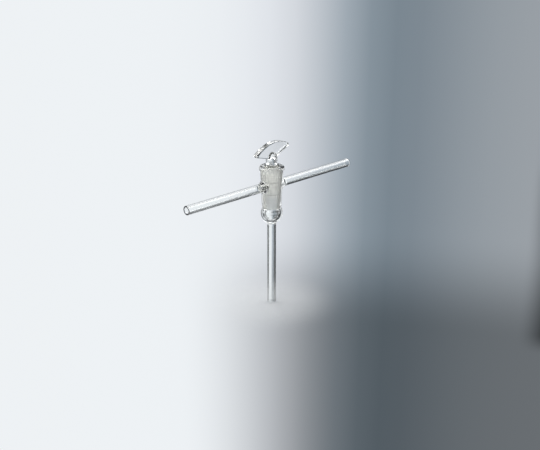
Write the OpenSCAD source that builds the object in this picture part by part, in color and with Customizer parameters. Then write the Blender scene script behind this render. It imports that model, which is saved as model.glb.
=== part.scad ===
// Three-way glass stopcock, T form: a thick-walled barrel with two arms, a bulb and a stem,
// and a hollow ground plug with a wing handle that turns in it.
// The origin is on the barrel's axis at the stem's open end. X runs along the arms.

/* [Tubes] */
// Outer diameter of both arms and of the stem
tube_d = 10; // [8:0.5:12]
// Thickness of the tubes' wall
tube_wall = 1.5; // [1:0.1:2]
// Reach of each arm from the barrel's axis
arm_reach = 115; // [80:1:150]
// Height of the arms' axis above the stem's open end
arm_height = 139; // [100:1:180]
// Rounding of the tubes' fire-polished ends
end_round = 0.6; // [0.2:0.1:0.7]

/* [Barrel] */
// Diameter of the lip round the barrel's mouth
lip_d = 28; // [26:0.5:34]
// Thickness of the lip's round bead
lip_bead = 5; // [3:0.1:6]
// Outer diameter of the barrel under its lip
barrel_top_d = 25; // [23:0.5:25.5]
// Outer diameter of the barrel at its foot
barrel_foot_d = 20.8; // [19:0.1:23.5]
// Outer diameter of the bulb under the barrel
bulb_d = 24.2; // [23.5:0.1:30]
// Diameter of the hollow inside the bulb
bulb_hollow_d = 16; // [12.5:0.1:17]
// Distance from the plug's lower end down to the bulb's centre
bulb_drop = 6.2; // [5:0.1:12]
// Length of the cone over which each arm swells where it is fused to the barrel
joint_len = 4.5; // [2:0.5:8]
// Distance from the barrel's side to where the arm's bore is at its full width
bore_start = 5.5; // [3:0.5:12]
// Length of the funnel in which that bore narrows to the port
funnel_len = 3; // [1:0.5:6]
// How far that cone stands out beyond the arm, all round
joint_swell = 1.5; // [0.5:0.1:3]

/* [Ground fit] */
// Diameter of the plug's ground cone at its top
ground_d = 16; // [13:0.1:19.2]
// Length of the ground cone
ground_len = 46; // [38:0.5:60]
// Height of the ground cone's top above the arms' axis
ground_rise = 22; // [16:0.5:30]
// Length of cone over which its diameter shrinks by 1
taper_run = 10; // [8:1:20]
// Gap between the plug's cone and the socket, all round
fit_gap = 0.05; // [0.02:0.01:0.09]
// How far the ground cone stands above the lip
plug_proud = 0.2; // [0:0.1:3]
// Bore of the ports through the barrel's wall and the plug's wall
port_d = 5; // [2:0.5:6]

/* [Plug] */
// Wall of the hollow plug
plug_wall = 2; // [1.2:0.1:2.6]
// Length of the plain tip below the ground cone
tip_len = 1.6; // [1:0.1:3]
// Height of the sloping shoulder between the ground cone and the neck
shoulder_rise = 4.5; // [3:0.5:8]
// Outer diameter of the neck
neck_d = 12.4; // [9:0.1:13]
// Bore of the neck
neck_bore_d = 7; // [3:0.1:8]
// Length of the neck between its shoulder and its domed top
neck_len = 5; // [4:0.5:12]
// How far the neck's bore stops short of the foot of its domed top
bore_stop = 2.5; // [0:0.5:3.5]

/* [Handle] */
// Length of the handle from tip to tip
handle_len = 56; // [40:1:80]
// Thickness of the handle's plate
handle_thick = 6; // [3:0.5:7]
// Height of the handle's back above its tips
back_rise = 9; // [5:0.5:14]
// Depth of the handle's foot on the neck below its tips
belly_drop = 8.5; // [5:0.5:12]
// Radius of the rounded tips
tip_r = 2.2; // [1:0.1:3]
// Angle of the handle and the plug's ports from the arms
handle_turn = 12; // [0:1:90]

/* [Hidden] */
$fn = 96;

glass_colour = "#dfe8ea";
ground_colour = "#c9cbc3";

tube_r = tube_d / 2;
tube_bore_r = tube_r - tube_wall;
port_r = port_d / 2;

ground_top = arm_height + ground_rise;
ground_foot = ground_top - ground_len;
ground_r = ground_d / 2;
foot_r = ground_r - ground_len / taper_run / 2;
plug_foot = ground_foot - tip_len;

lip_top = ground_top - plug_proud;
lip_z = lip_top - lip_bead / 2;
lip_r = lip_d / 2;

bulb_z = plug_foot - bulb_drop;
bulb_r = bulb_d / 2;
hollow_r = bulb_hollow_d / 2;
mouth_bevel = 0.8;

neck_r = neck_d / 2;
neck_bore_r = neck_bore_d / 2;
neck_foot = ground_top + shoulder_rise;
neck_top = neck_foot + neck_len;
bore_top = neck_top - bore_stop;
handle_z = neck_foot + belly_drop + neck_len;

past = 1; // how far a cutting shape runs past the surface it opens

// Radius of the ground cone at a height
function cone_r(z) = ground_r - (ground_top - z) / taper_run / 2;

// Radius of a circle through both ends of a chord and the top of its rise
function arc_r(half_chord, rise) = (half_chord * half_chord + rise * rise) / (2 * rise);

// Half outline of a rod with a rounded end at its top
module rod_outline(r, bottom, top) {
    translate([0, bottom]) square([r - end_round, top - bottom]);
    translate([0, bottom]) square([r, top - bottom - end_round]);
    translate([r - end_round, top - end_round]) circle(end_round);
}

// Half outline of a bore whose mouth at the top is rounded
module bore_outline(r, bottom, top) {
    translate([0, bottom]) square([r, top - bottom + past]);
    translate([0, top - end_round]) difference() {
        square([r + end_round, end_round + past]);
        translate([r + end_round, 0]) circle(end_round);
    }
}

// Keeps the right half of an outline, so that it can be turned
module right_half() {
    reach = arm_reach + arm_height;
    intersection() {
        translate([0, -reach]) square([reach, 3 * reach]);
        children();
    }
}

// Barrel wall, lip and bulb, without their hollows
module barrel_shell() {
    rotate_extrude() right_half() {
        polygon([[0, bulb_z], [barrel_foot_d / 2, bulb_z], [barrel_top_d / 2, lip_z], [0, lip_z]]);
        translate([0, lip_z - lip_bead / 2]) square([lip_r - lip_bead / 2, lip_bead]);
        translate([lip_r - lip_bead / 2, lip_z]) circle(lip_bead / 2);
        translate([0, bulb_z]) circle(bulb_r);
    }
}

// Stem tube, open end at the bottom
module stem() {
    mirror([0, 0, 1]) rotate_extrude() rod_outline(tube_r, -bulb_z, 0);
}

// One arm, with the swollen cone where it is fused to the barrel
module arm() {
    root = ground_r;
    swell_end = barrel_top_d / 2 + joint_len;
    translate([0, 0, arm_height]) rotate([0, 90, 0]) rotate_extrude() {
        rod_outline(tube_r, root, arm_reach);
        polygon([[0, root], [tube_r + joint_swell, root], [tube_r + joint_swell, barrel_foot_d / 2],
                 [tube_r, swell_end], [0, swell_end]]);
    }
}

// Arm's bore: a port through the barrel's wall that widens into the tube
module arm_bore() {
    tube_start = barrel_top_d / 2 + bore_start;
    port_end = tube_start - funnel_len;
    translate([0, 0, arm_height]) rotate([0, 90, 0]) rotate_extrude() {
        polygon([[0, 0], [port_r, 0], [port_r, port_end], [tube_bore_r, tube_start], [0, tube_start]]);
        bore_outline(tube_bore_r, tube_start, arm_reach);
    }
}

// Ground socket for the plug, the bulb's hollow and the stem's bore
module socket_bore() {
    rotate_extrude() right_half() {
        polygon([[0, bulb_z], [cone_r(bulb_z) + fit_gap, bulb_z],
                 [cone_r(lip_top + past) + fit_gap, lip_top + past], [0, lip_top + past]]);
        polygon([[0, lip_top - mouth_bevel], [cone_r(lip_top) + fit_gap, lip_top - mouth_bevel],
                 [cone_r(lip_top) + fit_gap + mouth_bevel + past, lip_top + past], [0, lip_top + past]]);
        translate([0, bulb_z]) circle(hollow_r);
    }
    mirror([0, 0, 1]) rotate_extrude() bore_outline(tube_bore_r, -bulb_z, 0);
}

module barrel() {
    color(glass_colour) difference() {
        union() {
            barrel_shell();
            stem();
            arm();
            mirror([1, 0, 0]) arm();
        }
        socket_bore();
        arm_bore();
        mirror([1, 0, 0]) arm_bore();
    }
}

// Outside of the plug: tip, ground cone, shoulder, neck and dome
module plug_shell() {
    color(ground_colour) rotate_extrude() right_half() {
        polygon([[0, plug_foot], [foot_r - tip_len / 2, plug_foot], [foot_r, ground_foot],
                 [ground_r, ground_top], [neck_r, neck_foot], [neck_r, neck_top], [0, neck_top]]);
        translate([0, neck_top]) circle(neck_r);
    }
}

// Hollow of the plug, open at its foot and domed in the neck
module plug_hollow() {
    rotate_extrude() right_half() {
        polygon([[0, plug_foot - past], [foot_r - plug_wall, plug_foot - past],
                 [foot_r - plug_wall, ground_foot], [ground_r - plug_wall, ground_top],
                 [neck_bore_r, neck_foot], [neck_bore_r, bore_top], [0, bore_top]]);
        translate([0, bore_top]) circle(neck_bore_r);
    }
}

// Ports through both sides of the plug, at the height of the arms
module plug_ports() {
    translate([0, 0, arm_height]) rotate([0, 90, 0])
        cylinder(h = 2 * (ground_r + past), r = port_r, center = true);
}

// Flat wing handle: an arched back, rounded tips and a belly that falls straight to the neck
module handle() {
    half = handle_len / 2 - tip_r;
    back_r = arc_r(half, back_rise - tip_r);
    color(glass_colour) translate([0, 0, handle_z]) rotate([90, 0, 0])
        linear_extrude(handle_thick, center = true) {
            intersection() {
                translate([0, back_rise - back_r]) circle(back_r);
                polygon([[-half, -tip_r], [-neck_r, -belly_drop], [neck_r, -belly_drop], [half, -tip_r],
                         [half, back_rise], [-half, back_rise]]);
            }
            translate([-half, 0]) circle(tip_r);
            translate([half, 0]) circle(tip_r);
        }
}

module plug() {
    rotate([0, 0, handle_turn]) difference() {
        union() {
            plug_shell();
            handle();
        }
        plug_hollow();
        plug_ports();
    }
}

barrel();
plug();
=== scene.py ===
import bpy
import math
from mathutils import Matrix, Vector


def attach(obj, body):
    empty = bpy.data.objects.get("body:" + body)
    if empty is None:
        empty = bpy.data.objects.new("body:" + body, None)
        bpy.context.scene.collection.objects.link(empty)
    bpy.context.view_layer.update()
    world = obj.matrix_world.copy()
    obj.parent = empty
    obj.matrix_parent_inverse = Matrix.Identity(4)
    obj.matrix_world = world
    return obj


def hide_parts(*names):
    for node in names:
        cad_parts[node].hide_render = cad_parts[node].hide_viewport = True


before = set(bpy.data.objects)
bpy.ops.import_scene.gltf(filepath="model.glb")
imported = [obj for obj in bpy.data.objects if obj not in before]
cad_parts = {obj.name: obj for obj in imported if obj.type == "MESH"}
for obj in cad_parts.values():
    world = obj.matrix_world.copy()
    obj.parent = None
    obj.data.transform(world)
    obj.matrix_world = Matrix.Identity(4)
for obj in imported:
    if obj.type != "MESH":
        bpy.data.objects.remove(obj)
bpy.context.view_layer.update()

mm = 0.001

# Camera first, in metres and degrees
cameraPlace = {
    "turn": -41.0,  # round the object
    "rise": 22.4,  # above the horizon
    "distance": 1.134,
    "lens": 68.8,  # mm
    "sensor": 36.0,  # mm
    "near": 0.05,
    "far": 50.0,
    "aimHeight": 0.0923,
    "sideStep": -0.0018,
}


def placeCamera(look):
    turn, rise = math.radians(look["turn"]), math.radians(look["rise"])
    back = Vector((math.sin(turn) * math.cos(rise), -math.cos(turn) * math.cos(rise), math.sin(rise)))
    sideways = Vector((math.cos(turn), math.sin(turn), 0.0))
    aim = Vector((0, 0, look["aimHeight"])) + sideways * look["sideStep"]
    data = bpy.data.cameras.new("camera")
    data.lens = look["lens"]
    data.sensor_width = look["sensor"]
    data.clip_start, data.clip_end = look["near"], look["far"]
    camera = bpy.data.objects.new("camera", data)
    bpy.context.scene.collection.objects.link(camera)
    camera.location = aim + back * look["distance"]
    camera.rotation_mode = "QUATERNION"
    camera.rotation_quaternion = (-back).to_track_quat("-Z", "Y")
    bpy.context.scene.camera = camera


placeCamera(cameraPlace)
print("camera placed")

# Shared steps of the modelling
smoothing = {
    "sharpAngle": 32,  # degrees, edges that bend more than this stay sharp
    "weight": 80,
    "levels": 2,  # of subdivision
    "rounds": 80,  # enough for the held rings to settle
}


def deselectAll():
    if bpy.context.mode != "OBJECT":
        bpy.ops.object.mode_set(mode="OBJECT")
    bpy.ops.object.select_all(action="DESELECT")


def makeActive(piece):
    deselectAll()
    piece.select_set(True)
    bpy.context.view_layer.objects.active = piece


def applyModifier(piece, kind, **settings):
    makeActive(piece)
    modifier = piece.modifiers.new(kind.lower(), kind)
    for key, value in settings.items():
        setattr(modifier, key, value)
    bpy.ops.object.modifier_apply(modifier=modifier.name)


def turnOutwards(piece):
    makeActive(piece)
    bpy.ops.object.mode_set(mode="EDIT")
    bpy.ops.mesh.select_all(action="SELECT")
    bpy.ops.mesh.normals_make_consistent(inside=False)
    bpy.ops.object.mode_set(mode="OBJECT")


def heldRings(points):
    # Subdivision draws the surface in between its rings, so each ring is moved out until the surface
    # passes through the point that it stands for
    held = [Vector(point) for point in points]
    for _ in range(smoothing["rounds"]):
        for i in range(1, len(points) - 1):
            held[i] = (6 * Vector(points[i]) - held[i - 1] - held[i + 1]) / 4
    return held


def drawOut(name, points, sides, along="z", lift=0.0):
    # A circle drawn out ring by ring along an axis: points are (place, radius) in mm
    spread = 6 / (4 + 2 * math.cos(2 * math.pi / sides))
    rings = [(place * mm, radius * spread * mm) for place, radius in heldRings(points)]
    place, radius = rings[0]
    upright = along == "z"
    deselectAll()
    bpy.ops.mesh.primitive_circle_add(
        vertices=sides, radius=radius, fill_type="NGON",
        location=(0, 0, place) if upright else (place, 0, lift * mm),
        rotation=(0, 0, 0) if upright else (0, math.pi / 2, 0))
    piece = bpy.context.object
    piece.name = piece.data.name = name
    bpy.ops.object.transform_apply(location=True, rotation=True, scale=True)
    bpy.ops.object.mode_set(mode="EDIT")
    bpy.ops.mesh.select_mode(type="FACE")
    bpy.ops.mesh.select_all(action="SELECT")
    for nextPlace, nextRadius in rings[1:]:
        step, grow = nextPlace - place, nextRadius / radius
        bpy.ops.mesh.extrude_region_move(
            TRANSFORM_OT_translate={"value": (0, 0, step) if upright else (step, 0, 0)})
        bpy.ops.transform.resize(
            value=(grow, grow, 1) if upright else (1, grow, grow),
            center_override=(0, 0, nextPlace) if upright else (nextPlace, 0, lift * mm))
        place, radius = nextPlace, nextRadius
    bpy.ops.object.mode_set(mode="OBJECT")
    turnOutwards(piece)
    return piece


def pickFaces(piece, wanted):
    # Leaves the piece in edit mode with only the faces selected for which wanted(face) is true
    makeActive(piece)
    bpy.ops.object.mode_set(mode="EDIT")
    bpy.ops.mesh.select_mode(type="FACE")
    bpy.ops.mesh.select_all(action="DESELECT")
    bpy.ops.object.mode_set(mode="OBJECT")
    for face in piece.data.polygons:
        face.select = wanted(face)
    bpy.ops.object.mode_set(mode="EDIT")


def subdivide(piece):
    applyModifier(piece, "SUBSURF", levels=smoothing["levels"], render_levels=smoothing["levels"])


def combine(piece, other, operation):
    applyModifier(piece, "BOOLEAN", operation=operation, object=other, solver="EXACT")
    bpy.data.objects.remove(other, do_unlink=True)


def cutOut(piece, hollows):
    for hollow in hollows:
        subdivide(hollow)
        combine(piece, hollow, "DIFFERENCE")


def finishShading(piece):
    makeActive(piece)
    bpy.ops.object.shade_smooth_by_angle(angle=math.radians(smoothing["sharpAngle"]))
    applyModifier(piece, "WEIGHTED_NORMAL", keep_sharp=True, weight=smoothing["weight"])


def arcPoints(centre, size, first, last, count):
    # Points of a circle's arc round a place on the axis, its angles in degrees from the axis's direction
    found = []
    for i in range(count):
        angle = math.radians(first + (last - first) * i / (count - 1))
        found.append((centre + size * math.cos(angle), size * math.sin(angle)))
    return found


# Sizes that both pieces share, in mm
joint = {
    "armHeight": 139.0,
    "top": 161.0,
    "foot": 115.0,
    "topRadius": 8.0,
    "run": 20.0,  # length over which the radius shrinks by 1
    "gap": 0.05,
    "portRadius": 2.5,
}


def coneRadius(height):
    return joint["topRadius"] - (joint["top"] - height) / joint["run"]


# Sizes of the barrel, in mm
barrelShape = {
    "tubeRadius": 5.0,
    "boreRadius": 3.5,
    "armReach": 115.0,
    "wallFoot": (107.2, 10.4),
    "wallTop": (158.3, 12.5),
    "bulbHeight": 107.2,
    "bulbRadius": 12.1,
    "hollowRadius": 8.0,
    "waist": ((112.5, 10.35), (113.6, 10.15), (115.0, 10.55)),  # groove between the bulb and the wall
    "lipTop": 160.8,
    "armRoot": 13.4,  # where each arm meets the wall
    "armHole": 6.1,  # half the height of the opening that an arm is fused over
    "armHoleTurn": 30,  # half its width, in degrees round the barrel
    "endTrim": 0.02,  # keeps the polished ends just inside their full reach
}


def wallRadius(height):
    (low, small), (high, large) = barrelShape["wallFoot"], barrelShape["wallTop"]
    return small + (large - small) * (height - low) / (high - low)


def tubeEnd(reach, radius):
    # Outer rings of a fire-polished tube end, from the tube to the middle of its cap
    reach -= barrelShape["endTrim"]
    return [(reach - 7.0, radius), (reach - 2.2, radius), (reach - 1.1, radius),
            (reach - 0.55, radius - 0.02), (reach - 0.16, radius - 0.2), (reach, radius - 0.6),
            (reach, radius - 1.2), (reach, radius - 2.2), (reach, radius - 3.6)]


def boreEnd(reach, radius):
    # Rings of the bore's mouth, flared to meet the polished end
    return [(reach - 6.0, radius), (reach - 2.0, radius), (reach - 1.0, radius),
            (reach - 0.5, radius + 0.05), (reach - 0.12, radius + 0.3), (reach + 0.1, radius + 0.75),
            (reach + 1.2, radius + 0.9)]


def mirrored(points):
    return [(-place, radius) for place, radius in reversed(points)]


def barrelSkin():
    shape = barrelShape
    tube, height = shape["tubeRadius"], joint["armHeight"]
    bulb = arcPoints(shape["bulbHeight"], shape["bulbRadius"], 142, 70, 7)
    rings = mirrored(tubeEnd(0.0, tube))
    rings += [(18.0, tube), (34.0, tube), (52.0, tube), (70.0, tube), (84.0, tube), (90.5, tube)]
    rings += [(93.2, tube - 0.05), (94.9, tube + 0.15), (96.3, tube + 1.05)]
    rings += bulb
    rings += shape["waist"]
    rings += [(level, wallRadius(level)) for level in (117.5, 122.0, 127.0)]
    rings += [(height + step, wallRadius(height + step)) for step in (-9.0, -6.0, -3.1, 0.0, 3.1, 6.0, 9.0)]
    rings += [(151.0, 12.26), (153.4, 12.34), (155.2, 12.5), (156.4, 13.1), (157.6, 13.85),
              (158.9, 13.9), (159.9, 13.4), (160.6, 12.4)]
    rings += [(shape["lipTop"], radius) for radius in (11.3, 9.6, 7.0)]
    return drawOut("glassBarrel", rings, sides=24)


def armSkin(side):
    shape = barrelShape
    tube, reach = shape["tubeRadius"], shape["armReach"]
    rings = [(shape["armRoot"], 6.35), (14.4, 5.75), (16.0, 5.2)]
    rings += [(place, tube) for place in (18.2, 22.0, 38.0, 60.0, 82.0, 98.0)]
    rings += tubeEnd(reach, tube)
    if side < 0:
        rings = [(-place, radius) for place, radius in rings]
    return drawOut("arm", rings, sides=16, along="x", lift=joint["armHeight"])


def openFor(piece, wanted):
    pickFaces(piece, wanted)
    bpy.ops.mesh.delete(type="FACE")
    bpy.ops.object.mode_set(mode="OBJECT")


def fuseArm(skin, side):
    # Opens the arm's root and the wall under it, and bridges the two openings
    shape = barrelShape
    arm = armSkin(side)
    root = shape["armRoot"] * mm
    openFor(arm, lambda face: abs(face.center.x) < root + 1e-6 and abs(face.normal.x) > 0.9)
    height, half = joint["armHeight"] * mm, shape["armHole"] * mm
    widest = math.radians(shape["armHoleTurn"])

    def underArm(face):
        turn = math.atan2(face.center.y, face.center.x * side)
        return abs(turn) < widest and abs(face.center.z - height) < half

    openFor(skin, underArm)
    makeActive(skin)
    arm.select_set(True)
    bpy.ops.object.join()
    bpy.ops.object.mode_set(mode="EDIT")
    bpy.ops.mesh.select_mode(type="EDGE")
    bpy.ops.mesh.select_all(action="DESELECT")
    bpy.ops.mesh.select_non_manifold(
        extend=False, use_wire=False, use_boundary=True, use_multi_face=False,
        use_non_contiguous=False, use_verts=False)
    bpy.ops.mesh.bridge_edge_loops()
    bpy.ops.object.mode_set(mode="OBJECT")


def barrelHollow():
    shape = barrelShape
    bore, gap = shape["boreRadius"], joint["gap"]
    hollow = arcPoints(shape["bulbHeight"], shape["hollowRadius"], 148, 48, 11)
    rings = mirrored(boreEnd(0.0, bore))
    rings += [(height, bore) for height in (20.0, 40.0, 60.0, 80.0, 92.0, 97.0)]
    rings += [(99.2, bore + 0.1)] + hollow + [(113.1, 5.72)]
    rings += [(height, coneRadius(height) + gap)
              for height in (113.7, 115, 118, 124, 130, 136, 142, 148, 154, 158, 159.6)]
    rings += [(160.0, coneRadius(160) + gap + 0.04), (160.5, 8.35), (160.9, 8.9), (161.8, 9.6),
              (162.4, 9.8)]
    return drawOut("hollow", rings, sides=32)


def armHollow():
    shape = barrelShape
    bore, port = shape["boreRadius"], joint["portRadius"]
    half = [(place, port) for place in (0.0, 6.0, 11.0, 13.6)]
    half += [(14.8, port + 0.05), (16.4, port + 0.5), (17.8, bore - 0.08)]
    half += [(place, bore) for place in (19.2, 24.0, 40.0, 60.0, 80.0, 98.0)]
    half += boreEnd(shape["armReach"], bore)
    return drawOut("armHollow", mirrored(half)[:-1] + half, sides=24, along="x", lift=joint["armHeight"])


def buildBarrel():
    skin = barrelSkin()
    for side in (1, -1):
        fuseArm(skin, side)
    turnOutwards(skin)
    subdivide(skin)
    cutOut(skin, (barrelHollow(), armHollow()))
    finishShading(skin)
    return skin


barrel = buildBarrel()
print("barrel built", len(barrel.data.polygons), "faces")

# Sizes of the plug and its handle, in mm
plugShape = {
    "foot": 113.4,
    "wall": 2.0,
    "neckTop": 170.5,
    "neckRadius": 6.2,
    "neckBore": 3.5,
    "boreTop": 168.0,
    "portReach": 9.5,
    "capRadius": 6.28,  # the neck again, as the handle is melted onto it
    "handleTurn": 12.0,  # degrees from the arms
    "handleHeight": 179.0,
    "halfLength": 25.8,
    "thickness": 6.0,
    "backRise": 9.0,
    "backSides": 300,
    "bellyDrop": 8.5,
    "tipRadius": 2.2,
    "tipAngles": range(-72, 61, 12),  # slopes of the flats that round the tips, in degrees
    "rim": 1.5,
    "rimSteps": 8,
    "grain": 0.32,  # size of the new faces that its melted joint is smoothed with
    "melt": 24,  # more gives wider fillets and softer edges
}


def plugSkin():
    shape = plugShape
    top, neck = joint["top"], shape["neckRadius"]
    tip, foot = shape["foot"], joint["foot"]
    rings = [(tip, 2.4), (tip, 3.9), (tip + 0.03, 4.7), (tip + 0.3, 5.1), (foot - 0.3, 5.56), (foot, 5.7)]
    rings += [(height, coneRadius(height))
              for height in (115.5, 119, 125, 131, 137, 143, 149, 155, 159, 160.4)]
    rings += [(top, 8.0), (top + 0.5, 7.92), (161.95, 7.7), (162.3, 7.3), (162.6, 6.85), (163.3, 6.5),
              (164.6, 6.3), (166.6, neck), (168.2, neck - 0.5)]
    rings += arcPoints(shape["neckTop"], neck - 0.6, 90, 8, 8)
    return drawOut("groundPlug", rings, sides=32)


def plugHollow():
    shape = plugShape
    foot, bore = coneRadius(joint["foot"]) - shape["wall"], shape["neckBore"]
    rings = [(shape["foot"] - 1.0, foot), (shape["foot"] + 0.6, foot), (joint["foot"] + 1, foot + 0.05)]
    rings += [(height, coneRadius(height) - shape["wall"])
              for height in (119, 125, 131, 137, 143, 149, 155)]
    rings += [(159.0, 5.85), (161.2, 5.75), (163.0, 5.0), (164.6, 4.1), (166.0, bore + 0.08)]
    rings += arcPoints(shape["boreTop"], bore, 90, 10, 7)
    return drawOut("plugHollow", rings, sides=24)


def portRod():
    reach = plugShape["portReach"]
    rings = [(place, joint["portRadius"]) for place in (-reach, -8.5, -6.0, 0.0, 6.0, 8.5, reach)]
    return drawOut("ports", rings, sides=24, along="x", lift=joint["armHeight"])


def cutAway(piece, point, normal):
    # Cuts the piece with a plane, drops the side that the normal points to and closes the cut
    makeActive(piece)
    bpy.ops.object.mode_set(mode="EDIT")
    bpy.ops.mesh.select_all(action="SELECT")
    bpy.ops.mesh.bisect(
        plane_co=point, plane_no=Vector(normal).normalized(), use_fill=True, clear_outer=True,
        threshold=1e-7)
    bpy.ops.object.mode_set(mode="OBJECT")


def buildHandle():
    shape = plugShape
    half, rise, thick = shape["halfLength"], shape["backRise"], shape["thickness"]
    tip, drop, level = shape["tipRadius"], shape["bellyDrop"], shape["handleHeight"]
    arch = rise - tip
    backRadius = (half * half + arch * arch) / (2 * arch)
    deselectAll()
    bpy.ops.mesh.primitive_cylinder_add(
        vertices=shape["backSides"], radius=backRadius * mm, depth=thick * mm,
        location=(0, 0, (level + rise - backRadius) * mm), rotation=(math.pi / 2, 0, 0))
    handle = bpy.context.object
    handle.name = "handle"
    bpy.ops.object.transform_apply(location=True, rotation=True, scale=True)
    run, fall = half - shape["neckRadius"], drop - tip
    for side in (1, -1):
        for angle in shape["tipAngles"]:
            slope = math.radians(angle)
            outward = (side * math.cos(slope), 0, math.sin(slope))
            touch = (side * half + tip * outward[0], 0, level + tip * outward[2])
            cutAway(handle, [value * mm for value in touch], outward)
        cutAway(handle, (side * half * mm, 0, (level - tip) * mm), (side * fall, 0, -run))
    cutAway(handle, (0, 0, (level - drop) * mm), (0, 0, -1))
    pickFaces(handle, lambda face: abs(face.normal.y) > 0.9)
    bpy.ops.mesh.bevel(
        offset=shape["rim"] * mm, offset_type="OFFSET", segments=shape["rimSteps"], profile=0.5,
        affect="EDGES", clamp_overlap=True)
    bpy.ops.object.mode_set(mode="OBJECT")
    return handle


def buildGrip():
    # The handle and the neck under it, melted into one with a fillet where they meet
    shape = plugShape
    neck = shape["capRadius"]
    rings = [(164.6, 3.0), (164.6, 5.0), (165.0, 5.8), (166.0, 6.1), (167.4, neck), (169.2, neck)]
    rings += arcPoints(shape["neckTop"], neck, 90, 8, 8)
    cap = drawOut("cap", rings, sides=32)
    subdivide(cap)
    grip = buildHandle()
    combine(grip, cap, "UNION")
    applyModifier(grip, "REMESH", mode="VOXEL", voxel_size=shape["grain"] * mm)
    applyModifier(grip, "SMOOTH", factor=0.5, iterations=shape["melt"])
    return grip


def buildPlug():
    skin = plugSkin()
    subdivide(skin)
    combine(skin, buildGrip(), "UNION")
    cutOut(skin, (plugHollow(), portRod()))
    skin.data.transform(Matrix.Rotation(math.radians(plugShape["handleTurn"]), 4, "Z"))
    finishShading(skin)
    return skin


plug = buildPlug()
print("plug built", len(plug.data.polygons), "faces")


def newMaterial(name):
    material = bpy.data.materials.new(name)
    material.use_nodes = True
    nodes = material.node_tree.nodes
    shader = nodes["Principled BSDF"]
    return material, nodes, material.node_tree.links, shader


# Clear glass, and below it the ground glass of the cones
glassLook = {
    "tint": (0.988, 0.994, 0.992, 1),
    "deepTint": (0.972, 0.986, 0.982, 1),
    "roughness": (0.0, 0.006),
    "stretch": (28.0, 28.0, 28.0),
    "index": 1.473,
    "waveScale": 40.0,
    "waveDepth": 0.00005,
    "waveStrength": 0.01,
}
groundLook = {
    "lower": (0.86, 0.885, 0.89, 1),  # cooler foot of the joint
    "upper": (0.985, 0.985, 0.945, 1),  # warm, dry upper part
    "upperFrom": 122,  # heights in mm between which the one turns into the other
    "upperTo": 138,
    "slantShade": (0.6, 0.6, 0.56, 1),  # painted shade: darker where the joint is seen at a slant, towards its sides
    "slant": (0.05, 0.5),
    "groove": (0.5, 0.5, 0.47, 1),
    "grooves": (143.9, 130.2),  # heights of the turned rings
    "grooveWidth": 0.8,
    "polished": (128.4, 157.2),  # heights of the whiter rings: the lower one rubbed, the upper one a painted highlight under the lip
    "polishedWidth": 1.1,
    "polish": (1.0, 1.0, 0.985, 1),
    "ringAmount": 0.85,
    "clearness": 0.3,  # how much light goes through, the rest is scattered
    "roughness": (0.42, 0.58),
    "stretch": (60.0, 60.0, 1400.0),  # the grinding runs round the cone
    "streaks": (0.45, 0.75),
    "streakAmount": 0.35,
    "grainDepth": 0.00003,
    "grainStrength": 0.25,
}


def setInput(links, node, name, value):
    # Links a node's input to another node's output, or gives it a value
    if isinstance(value, bpy.types.NodeSocket):
        links.new(value, node.inputs[name])
    else:
        node.inputs[name].default_value = value


def addNode(nodes, links, kind, inputs=None, **settings):
    node = nodes.new("ShaderNode" + kind)
    for name, value in settings.items():
        setattr(node, name, value)
    for name, value in (inputs or {}).items():
        setInput(links, node, name, value)
    return node


def glassGrain():
    # Shared by both glasses: soft waves and fine streaks over an object's own coordinates
    group = bpy.data.node_groups.new("glassGrain", "ShaderNodeTree")
    for name in ("Vector", "Stretch"):
        group.interface.new_socket(name, in_out="INPUT", socket_type="NodeSocketVector")
    for name in ("Wave Scale", "Low", "High"):
        group.interface.new_socket(name, in_out="INPUT", socket_type="NodeSocketFloat")
    for name in ("Waves", "Streaks", "Roughness"):
        group.interface.new_socket(name, in_out="OUTPUT", socket_type="NodeSocketFloat")
    nodes, links = group.nodes, group.links
    given, result = nodes.new("NodeGroupInput"), nodes.new("NodeGroupOutput")
    waves = addNode(nodes, links, "TexNoise", {
        "Vector": given.outputs["Vector"], "Scale": given.outputs["Wave Scale"], "Detail": 1.0})
    stretched = addNode(nodes, links, "VectorMath", {
        0: given.outputs["Vector"], 1: given.outputs["Stretch"]}, operation="MULTIPLY")
    streaks = addNode(nodes, links, "TexNoise", {
        "Vector": stretched.outputs["Vector"], "Scale": 1.0, "Detail": 3.0})
    rough = addNode(nodes, links, "MapRange", {
        "Value": streaks.outputs["Fac"], "From Min": 0.3, "From Max": 0.7,
        "To Min": given.outputs["Low"], "To Max": given.outputs["High"]})
    links.new(waves.outputs["Fac"], result.inputs["Waves"])
    links.new(streaks.outputs["Fac"], result.inputs["Streaks"])
    links.new(rough.outputs["Result"], result.inputs["Roughness"])
    return group


grainGroup = glassGrain()


def addGrain(nodes, links, look):
    low, high = look["roughness"]
    place = nodes.new("ShaderNodeTexCoord").outputs["Object"]
    grain = addNode(nodes, links, "Group", node_tree=grainGroup)
    values = {"Vector": place, "Stretch": look["stretch"], "Low": low, "High": high,
              "Wave Scale": glassLook["waveScale"]}
    for name, value in values.items():
        setInput(links, grain, name, value)
    return place, grain.outputs


def addMix(nodes, links, mask, first, second):
    node = addNode(nodes, links, "Mix", data_type="RGBA")
    for name, value in (("Factor", mask), ("A", first), ("B", second)):
        setInput(links, node, name, value)
    return node.outputs["Result"]


def clearGlass():
    material, nodes, links, shader = newMaterial("clearGlass")
    shader.inputs["IOR"].default_value = glassLook["index"]
    shader.inputs["Transmission Weight"].default_value = 1.0
    _, grain = addGrain(nodes, links, glassLook)
    tint = addMix(nodes, links, grain["Waves"], glassLook["tint"], glassLook["deepTint"])
    bump = addNode(nodes, links, "Bump", {
        "Strength": glassLook["waveStrength"], "Distance": glassLook["waveDepth"],
        "Height": grain["Waves"]})
    links.new(tint, shader.inputs["Base Color"])
    links.new(grain["Roughness"], shader.inputs["Roughness"])
    links.new(bump.outputs["Normal"], shader.inputs["Normal"])
    return material


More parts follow.
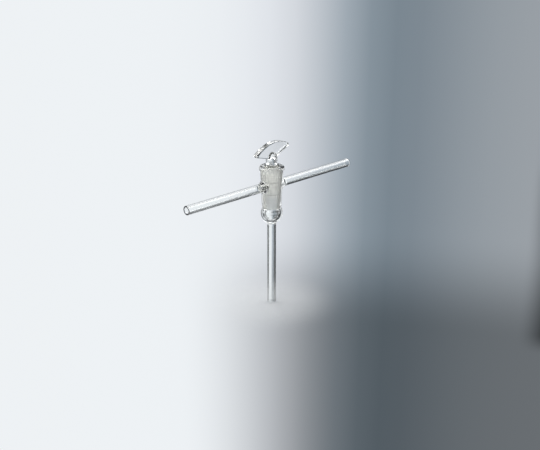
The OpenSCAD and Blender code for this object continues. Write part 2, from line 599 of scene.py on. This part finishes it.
def groundGlass():
    look = groundLook
    material, nodes, links, shader = newMaterial("groundGlass")
    shader.inputs["IOR"].default_value = glassLook["index"]
    shader.inputs["Transmission Weight"].default_value = look["clearness"]
    place, grain = addGrain(nodes, links, look)
    height = addNode(nodes, links, "SeparateXYZ", {"Vector": place}).outputs["Z"]
    rise = addNode(nodes, links, "MapRange", {
        "Value": height, "From Min": look["upperFrom"] * mm, "From Max": look["upperTo"] * mm},
        interpolation_type="SMOOTHSTEP")
    colour = addMix(nodes, links, rise.outputs["Result"], look["lower"], look["upper"])
    rings = [(at, look["grooveWidth"], look["groove"]) for at in look["grooves"]]
    # Whiter rings: the one at 128.4 mm is rubbed, the one at 157.2 mm is a painted highlight under the lip
    rings += [(at, look["polishedWidth"], look["polish"]) for at in look["polished"]]
    for at, width, tone in rings:
        away = addNode(nodes, links, "Math", {0: height, 1: at * mm}, operation="SUBTRACT")
        size = addNode(nodes, links, "Math", {0: away.outputs[0]}, operation="ABSOLUTE")
        mask = addNode(nodes, links, "MapRange", {
            "Value": size.outputs[0], "From Min": 0.0, "From Max": width * mm,
            "To Min": look["ringAmount"], "To Max": 0.0}, interpolation_type="SMOOTHSTEP")
        colour = addMix(nodes, links, mask.outputs["Result"], colour, tone)
    fine = addNode(nodes, links, "MapRange", {
        "Value": grain["Streaks"], "From Min": look["streaks"][0], "From Max": look["streaks"][1],
        "To Min": 0.0, "To Max": look["streakAmount"]})
    colour = addMix(nodes, links, fine.outputs["Result"], colour, look["groove"])
    # Painted shade: the ground glass turns darker where it is seen at a slant
    slant = addNode(nodes, links, "LayerWeight", {"Blend": 0.5})
    slantShade = addNode(nodes, links, "MapRange", {
        "Value": slant.outputs["Facing"], "From Min": look["slant"][0], "From Max": look["slant"][1]},
        interpolation_type="SMOOTHSTEP")
    colour = addMix(nodes, links, slantShade.outputs["Result"], colour, look["slantShade"])
    bump = addNode(nodes, links, "Bump", {
        "Strength": look["grainStrength"], "Distance": look["grainDepth"], "Height": grain["Streaks"]})
    links.new(colour, shader.inputs["Base Color"])
    links.new(grain["Roughness"], shader.inputs["Roughness"])
    links.new(bump.outputs["Normal"], shader.inputs["Normal"])
    return material


clear, ground = clearGlass(), groundGlass()


def finishGlass(piece, isGround):
    # Clear glass all over, and ground glass on the faces for which isGround(face) is true
    piece.data.materials.clear()
    piece.data.materials.append(clear)
    piece.data.materials.append(ground)
    for face in piece.data.polygons:
        face.material_index = 1 if isGround(face) else 0


groundZone = {
    "socket": (113.0, 160.2),  # heights between which each cone is ground
    "plug": (115.0, 161.1),
    "nearness": 0.3,
    "facing": 0.8,  # how squarely a face looks towards or away from the axis
}


def onCone(face, zone, gap, side):
    # Side is 1 for a face that looks outwards and -1 for one that looks at the axis
    low, high = zone
    height = face.center.z / mm
    reach = math.hypot(face.center.x, face.center.y) / mm
    out = (face.center.x * face.normal.x + face.center.y * face.normal.y) / (reach * mm) if reach else 0
    near = abs(reach - coneRadius(height) - gap) < groundZone["nearness"]
    return low < height < high and near and out * side > groundZone["facing"]


finishGlass(barrel, lambda face: onCone(face, groundZone["socket"], joint["gap"], -1))
finishGlass(plug, lambda face: onCone(face, groundZone["plug"], 0.0, 1))

for piece, node, slot in ((barrel, "barrel", "barrel_glass"), (plug, "plug", "plug_glass")):
    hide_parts(node)
    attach(piece, node)
print("pieces finished")

# World and lamp
scene = bpy.context.scene
scene.view_settings.view_transform = "Standard"
surround = {
    "facing": 49.0,  # degrees, the level direction that the camera looks in
    # Tones round the object: bearing to the right of that direction, and colour
    "round": [(-180, (238, 240, 242)), (-14, (238, 242, 245)), (-6, (238, 242, 245)),
              (-2.5, (234, 238, 242)), (-1, (229, 233, 238)), (0.2, (223, 227, 233)),
              (1.4, (213, 217, 223)), (2.6, (193, 199, 206)), (3.8, (167, 177, 186)),
              (5, (143, 155, 165)), (6.2, (124, 137, 147)), (7.6, (121, 133, 143)),
              (9.5, (131, 141, 150)), (12, (147, 155, 162)), (15, (154, 160, 166)),
              (22, (160, 165, 170)), (42, (222, 225, 228)), (54, (242, 244, 246)),
              (66, (232, 234, 236)), (105, (238, 240, 242)), (180, (238, 240, 242))],
    "overhead": (240, 241, 243),
    "overheadFrom": 18.0,  # rise at which the tones start to turn into it
    "overheadTo": 40.0,
}
# Cards that the glass mirrors and bends into its edges: bearings, rises, softness of each, and tone.
# Tones over 255 are bright soft boxes
cards = [
    {"bearing": (-0.8, 60), "rise": (-60, -25.2), "soft": (5.0, 2.8), "tone": (30, 36, 38), "amount": 0.6},
    {"bearing": (16.3, 75), "rise": (-28, -18.6), "soft": (1.2, 0.6), "tone": (4, 5, 6)},
    {"bearing": (18.6, 75), "rise": (-37, -26.8), "soft": (1.4, 0.6), "tone": (4, 5, 6)},
    {"bearing": (17, 45), "rise": (-22, -9), "soft": (2, 2), "tone": (8, 9, 10)},
    {"bearing": (64, 75), "rise": (-22, -9), "soft": (2, 2), "tone": (8, 9, 10)},
    {"bearing": (42, 66), "rise": (-13.4, -9), "soft": (2, 0.8), "tone": (30, 31, 32)},
    {"bearing": (3, 58), "rise": (-60, -38), "soft": (5, 3), "tone": (4, 5, 6)},
    {"bearing": (58, 112), "rise": (-64, -40), "soft": (6, 3), "tone": (150, 152, 154)},
    {"bearing": (10, 64), "rise": (-5, 12), "soft": (6, 3), "tone": (60, 62, 65)},
    {"bearing": (30, 62), "rise": (12, 24), "soft": (6, 4), "tone": (130, 132, 134)},
    {"bearing": (-15, 3), "rise": (-5, 9), "soft": (3, 3), "tone": (140, 143, 146)},
    {"bearing": (-65, -22), "rise": (-36, -17.4), "soft": (3.5, 1.3), "tone": (60, 63, 66)},
    {"bearing": (-66, -28), "rise": (-64, -37), "soft": (5, 2), "tone": (150, 152, 154)},
    {"bearing": (-30, 6), "rise": (-60, -44), "soft": (5, 3), "tone": (24, 25, 26)},
    {"bearing": (-113.2, -106), "rise": (-60, 30), "soft": (1.2, 6), "tone": (60, 62, 64)},
    {"bearing": (112, 154), "rise": (26, 66), "soft": (6, 6), "tone": (60, 62, 64)},
    {"bearing": (84, 196), "rise": (64, 96), "soft": (8, 5), "tone": (60, 62, 64)},
    {"bearing": (0, 84), "rise": (29, 62), "soft": (8, 6), "tone": (292, 292, 290)},
    {"bearing": (-88, -17), "rise": (40, 60), "soft": (6, 4), "tone": (660, 660, 656)},
    {"bearing": (-200, -118), "rise": (17, 60), "soft": (6, 8), "tone": (440, 440, 432)},
]


def linearTone(tone):
    # Display tones from 0 to 255 made linear
    parts = [part / 255 for part in tone]
    return [part / 12.92 if part <= 0.04045 else ((part + 0.055) / 1.055) ** 2.4 for part in parts] + [1.0]


def buildWorld():
    world = bpy.data.worlds.new("surround")
    scene.world = world
    world.use_nodes = True
    nodes, links = world.node_tree.nodes, world.node_tree.links
    background = nodes["Background"]
    direction = nodes.new("ShaderNodeTexCoord").outputs["Generated"]

    def along(axis):
        return addNode(
            nodes, links, "VectorMath", {0: direction, 1: axis}, operation="DOT_PRODUCT").outputs["Value"]

    def maths(operation, *values):
        return addNode(nodes, links, "Math", dict(enumerate(values)), operation=operation).outputs[0]

    def spread(value, low, high, first=0.0, last=1.0, kind="SMOOTHSTEP"):
        return addNode(nodes, links, "MapRange", {
            "Value": value, "From Min": low, "From Max": high, "To Min": first, "To Max": last},
            interpolation_type=kind).outputs["Result"]

    def inside(value, limits, soft):
        low, high = limits
        return maths("MULTIPLY", spread(value, low - soft, low + soft),
                     spread(value, high - soft, high + soft, 1.0, 0.0))

    turn, degree = math.radians(surround["facing"]), math.radians(1)
    ahead = (math.cos(turn), math.sin(turn), 0)
    right = (math.sin(turn), -math.cos(turn), 0)
    bearing = maths("DIVIDE", maths("ARCTAN2", along(right), along(ahead)), degree)
    rise = maths("DIVIDE", maths("ARCSINE", along((0, 0, 1))), degree)

    stops = surround["round"]
    low, high = stops[0][0], stops[-1][0]
    ramp = addNode(nodes, links, "ValToRGB", {"Fac": spread(bearing, low, high, kind="LINEAR")})
    ramp.color_ramp.interpolation = "B_SPLINE"
    elements = ramp.color_ramp.elements
    while len(elements) < len(stops):
        elements.new(0.5)
    for element, (at, tone) in zip(elements, stops):
        element.position = (at - low) / (high - low)
        element.color = linearTone(tone)

    above = spread(rise, surround["overheadFrom"], surround["overheadTo"])
    colour = addMix(nodes, links, above, ramp.outputs["Color"], linearTone(surround["overhead"]))
    for card in cards:
        softAcross, softUp = card["soft"]
        across = inside(bearing, card["bearing"], softAcross)
        upright = inside(rise, card["rise"], softUp)
        cover = maths("MULTIPLY", maths("MULTIPLY", across, upright), card.get("amount", 1.0))
        colour = addMix(nodes, links, cover, colour, linearTone(card["tone"]))
    links.new(colour, background.inputs["Color"])
    background.inputs["Strength"].default_value = 1.0


buildWorld()

# A soft lamp over the arms, its longer side along them, in metres and watts
overheadLamp = {
    "place": (0.55, 0.0, 0.95),
    "aimHeight": 0.12,
    "size": (0.9, 0.6),
    "power": 4.6,
}


def softLamp(name, look):
    data = bpy.data.lights.new(name, "AREA")
    data.shape = "RECTANGLE"
    data.size, data.size_y = look["size"]
    data.energy = look["power"]
    lamp = bpy.data.objects.new(name, data)
    scene.collection.objects.link(lamp)
    lamp.location = look["place"]
    reach, _, height = look["place"]
    lamp.rotation_euler = (0, math.atan2(reach, height - look["aimHeight"]), 0)


softLamp("overheadLamp", overheadLamp)

# The floor is a grey disc that shows most under the stem and fades out round it: painted shade under the
# object, on which its own shadow also falls
floorLook = {
    "radius": 0.5,
    "level": -0.0004,
    "colour": (0.4, 0.41, 0.42, 1),
    "roughness": 0.7,
    "shadeAtFoot": 0.4,  # how much of the grey floor shows under the stem, as painted shade round its foot
    "fadeTo": 0.09,  # distance at which it has faded out
}


def buildFloor():
    look = floorLook
    deselectAll()
    bpy.ops.mesh.primitive_circle_add(
        vertices=96, radius=look["radius"], fill_type="NGON", location=(0, 0, look["level"]))
    floor = bpy.context.object
    floor.name = "floor"
    bpy.ops.object.transform_apply(location=True, rotation=True, scale=True)
    material, nodes, links, shader = newMaterial("floorShadePool")
    shader.inputs["Base Color"].default_value = look["colour"]
    shader.inputs["Roughness"].default_value = look["roughness"]
    clearPart = nodes.new("ShaderNodeBsdfTransparent")
    place = nodes.new("ShaderNodeTexCoord")
    reach = addNode(nodes, links, "VectorMath", {0: place.outputs["Object"]}, operation="LENGTH")
    fade = addNode(nodes, links, "MapRange", {
        "Value": reach.outputs["Value"], "From Min": 0.0, "From Max": look["fadeTo"],
        "To Min": look["shadeAtFoot"], "To Max": 0.0}, interpolation_type="SMOOTHERSTEP")
    mix = addNode(nodes, links, "MixShader", {
        0: fade.outputs["Result"], 1: clearPart.outputs[0], 2: shader.outputs[0]})
    links.new(mix.outputs[0], nodes["Material Output"].inputs["Surface"])
    floor.data.materials.append(material)


buildFloor()
print("stage built")
